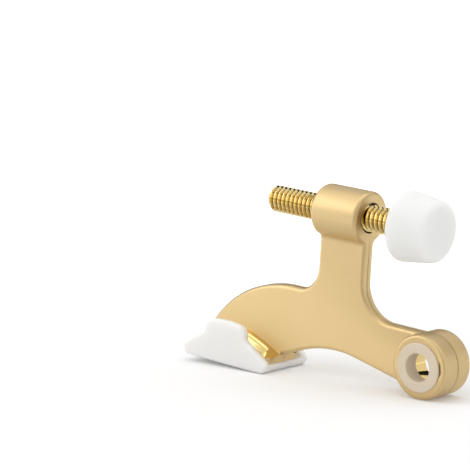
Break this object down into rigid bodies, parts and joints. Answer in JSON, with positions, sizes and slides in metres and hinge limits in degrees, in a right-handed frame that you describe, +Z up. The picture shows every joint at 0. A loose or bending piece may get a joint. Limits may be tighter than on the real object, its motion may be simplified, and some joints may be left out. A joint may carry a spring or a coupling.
{
  "type": "hinge pin door stop",
  "caption": "Hinge pin door stop: cast arm with an eye and nylon bush for the pin, a threaded bumper rod through the post and a rubber boot on the foot.",
  "frame": {"origin": "centre of the hinge pin hole in the bush", "axes": "+Y along the hinge pin axis towards the open back of the eye, +Z up from the table that the stop lies on, +X from the foot towards the eye"},
  "size_m": [0.0774, 0.0164, 0.0467],
  "materials": {
    "satin_brass": "satin brushed brass plating",
    "bright_brass": "bright brass plating",
    "nylon": "natural nylon",
    "white_rubber": "matt white rubber"
  },
  "bodies": {
    "stop_body": {"body_casting": "satin_brass", "hinge_pin_bush": "nylon", "foot_boot": "white_rubber"},
    "tip": {"rubber_tip": "white_rubber"},
    "screw": {"adjusting_screw": "bright_brass"}
  },
  "joints": [
    {"name": "tip_travel", "type": "slide", "parent": "stop_body", "child": "tip", "axis": [0.9974, 0, -0.0723], "range_m": [-0.0095, 0.015]},
    {"name": "screw_turn", "type": "hinge", "parent": "tip", "child": "screw", "pos_m": [-0.03121, 0.00343, 0.03279], "axis": [0.9974, 0, -0.0723], "range_deg": [-2693, 4252]}
  ],
  "couplings": [
    {"joint": "screw_turn", "follows": "tip_travel", "rad_per_m": 4947.4}
  ]
}
